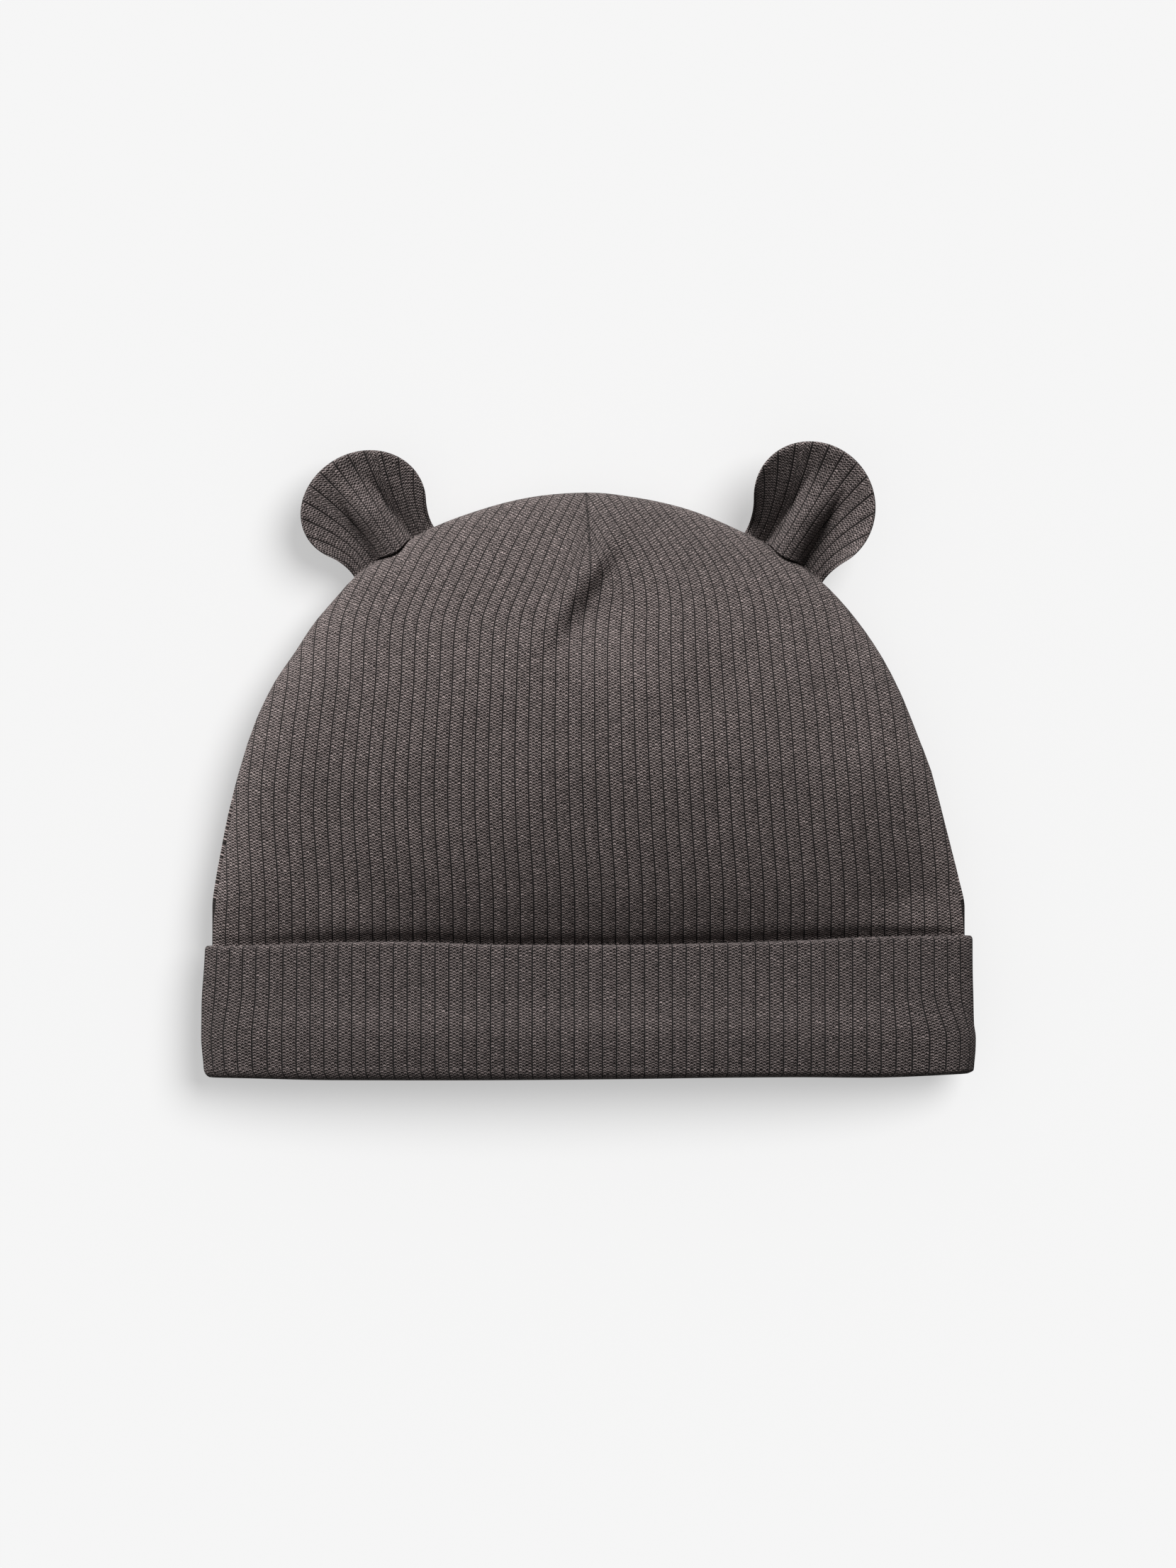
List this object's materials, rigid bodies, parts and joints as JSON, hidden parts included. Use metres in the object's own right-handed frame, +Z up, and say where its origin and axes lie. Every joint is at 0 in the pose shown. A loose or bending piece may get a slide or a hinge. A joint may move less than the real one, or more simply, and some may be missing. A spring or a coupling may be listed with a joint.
{
  "type": "baby hat with ears",
  "caption": "Soft knitted baby hat with a turned-up cuff, a darted crown of a front and a back piece, and round pleated ears set into the crown seam, lying flat on its back.",
  "frame": {"origin": "middle of the hat's extent, on the surface that it lies on", "axes": "+X along the cuff, to the right of a viewer above with the mouth towards them; +Y from the mouth to the top of the crown; +Z up from the surface"},
  "size_m": [0.1798, 0.148, 0.0259],
  "materials": {
    "crown_jersey": "matt drop-needle rib cotton jersey, dark taupe grey",
    "cuff_jersey": "the same jersey, doubled and turned up",
    "ear_jersey": "the same jersey, doubled, with ribs that fan out from the base"
  },
  "bodies": {
    "root": {"crown_front": "crown_jersey", "crown_back": "crown_jersey", "cuff": "cuff_jersey", "ear_left": "ear_jersey", "ear_right": "ear_jersey"}
  },
  "joints": []
}
